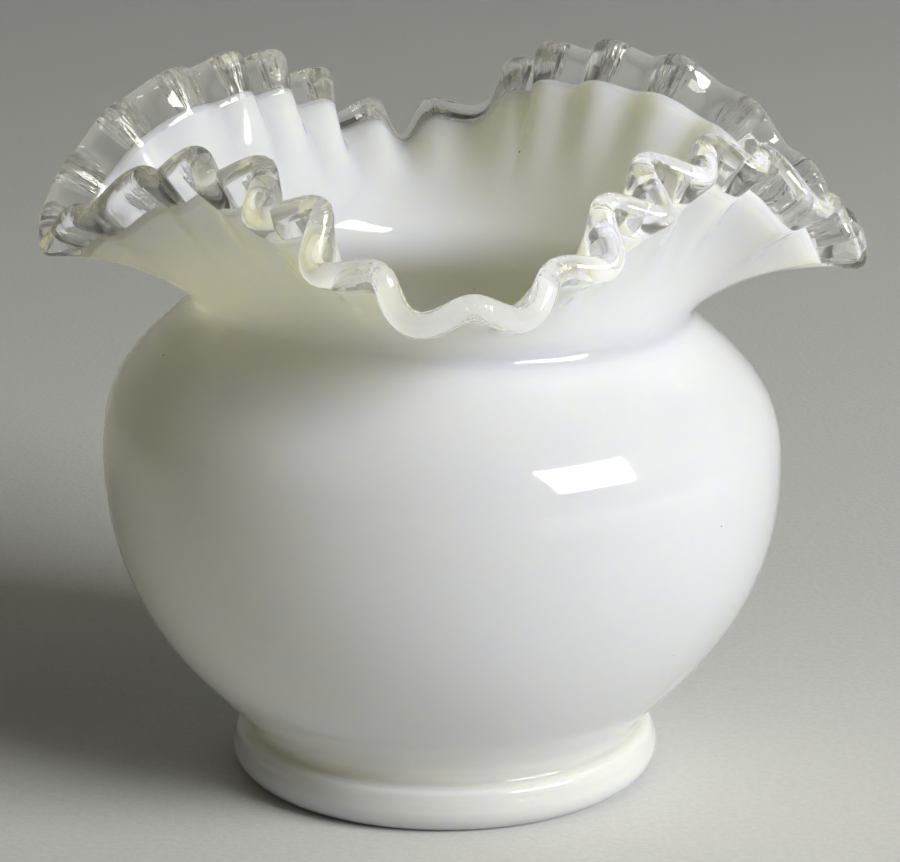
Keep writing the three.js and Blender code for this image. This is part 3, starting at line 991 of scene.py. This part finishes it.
def foot_rows():
    """The underside and the foot, from the middle outwards and up onto the globe."""
    inner_top = np.array([REST_INNER_RADIUS, UNDERSIDE_HEIGHT])
    inner_foot = np.array([REST_INNER_RADIUS, 0.0])
    outwards, upwards = np.array([1.0, 0.0]), np.array([0.0, 1.0])
    outline = [np.array([POLE_RADIUS, UNDERSIDE_HEIGHT])]
    for step in (0.0, 0.5, 1.0):
        start, end = inner_top - outwards * INNER_ROUND, inner_top - upwards * INNER_ROUND
        outline.append(quadratic(start, inner_top, end, step))
    for step in (0.0, 0.5, 1.0):
        start, end = inner_foot + upwards * GROUND_ROUND, inner_foot + outwards * GROUND_ROUND
        outline.append(quadratic(start, inner_foot, end, step))
    side = [(FOOT_RADIUS - inwards * MM, height * MM) for inwards, height in SIDE_POINTS]
    outline += through(side, STEPS_PER_POINT)
    top = outline[-1]
    meeting = bezier(LOWER_GLOBE, FOOT_FILLET_SHARE)[0]
    for step in range(1, FOOT_FILLET_ROWS):
        outline.append(quadratic(top, foot_join, meeting, step / FOOT_FILLET_ROWS))
    return [plain_row(on_globe(point)) for point in outline]


# %% Make the body
def opal_rows():
    outside = foot_rows() + globe_rows(LOWER_GLOBE, LOWER_ROWS, FOOT_FILLET_SHARE, 1.0, 0.0)
    last = 1 - NECK_FILLET_OUTSIDE / SHOULDER_SPEED
    outside += globe_rows(UPPER_GLOBE, UPPER_ROWS, 0.0, last, 0.0)[1:]
    outside += wall_rows(-1, NECK_FILLET_OUTSIDE, neck)
    inside = floor_rows() + globe_rows(LOWER_GLOBE, LOWER_ROWS, 0.0, 1.0, WALL)[FLOOR_CURVE_ROW:]
    last = 1 - NECK_FILLET_INSIDE / SHOULDER_SPEED
    inside += globe_rows(UPPER_GLOBE, UPPER_ROWS, 0.0, last, WALL)[1:]
    neck_inside = np.array([NECK_RADIUS - WALL, NECK_HEIGHT + NECK_LIFT])
    inside += wall_rows(1, NECK_FILLET_INSIDE, neck_inside)
    return outside + nose_rows() + inside[::-1]


opal_body = made_by_nodes(
    "opal_body", skin("opal body", opal_rows(), is_capped=True), crimping,
    {**CRIMPING_SIZES, "Material": opal_glass},
)

# %% [markdown]
# ## Clear edge
# The clear band is a ribbon as wide as a finger nail, thicker than the wall and full round at its
# rim. It is a ring of rows, so the skin closes on itself. Its back end runs a little way into the
# opal glass, where it can't be seen, and it takes the same crimping tree as the body.

# %% Clear edge
BAND_ROWS = 8
ROUND_ROWS = 12
TAIL_ROWS = 3
TAIL_LENGTH = 0.7 * MM
PROUD = 0.01 * MM
RIM_INSET = 0.2 * MM


def crest_rows():
    band = []
    for step in range(BAND_ROWS + 1):
        part = step / BAND_ROWS
        swell = part * part * (3 - 2 * part)
        half = (WALL + (CREST_THICKNESS - WALL) * swell) / 2 + PROUD
        band.append((back_from_edge(EDGE["crest"] * (1 - part)), half))
    tail = []
    for step in range(1, TAIL_ROWS + 1):
        part = step / (TAIL_ROWS + 1)
        back = back_from_edge(EDGE["crest"] + TAIL_LENGTH * part)
        tail.append((back, WALL / 2 * math.sqrt(1 - part**2)))
    ribbon = tail[::-1] + band
    rows = [flare_row(along, -half) for along, half in ribbon]
    radius = CREST_THICKNESS / 2 + PROUD
    for step in range(1, ROUND_ROWS):
        turn = math.pi * step / ROUND_ROWS
        reach = (radius - RIM_INSET) * math.sin(turn)
        rows.append(flare_row(1.0, -radius * math.cos(turn), reach))
    rows += [flare_row(along, half) for along, half in ribbon[::-1]]
    return rows


clear_edge = made_by_nodes(
    "clear_edge", skin("clear edge", crest_rows(), is_ring=True), crimping,
    {**CRIMPING_SIZES, "Material": clear_glass},
)

# %% [markdown]
# ## Ride on the body
# Each piece rides on the one body of the model, and the CAD nodes that it stands for are hidden.

# %% Ride and hide the CAD parts
for piece, nodes, slot in (
    (opal_body, ("opal_vessel", "foot_ring"), "opal_glass"),
    (clear_edge, ("clear_crest",), "clear_glass"),
):
    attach(piece, "root")
    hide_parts(*nodes)
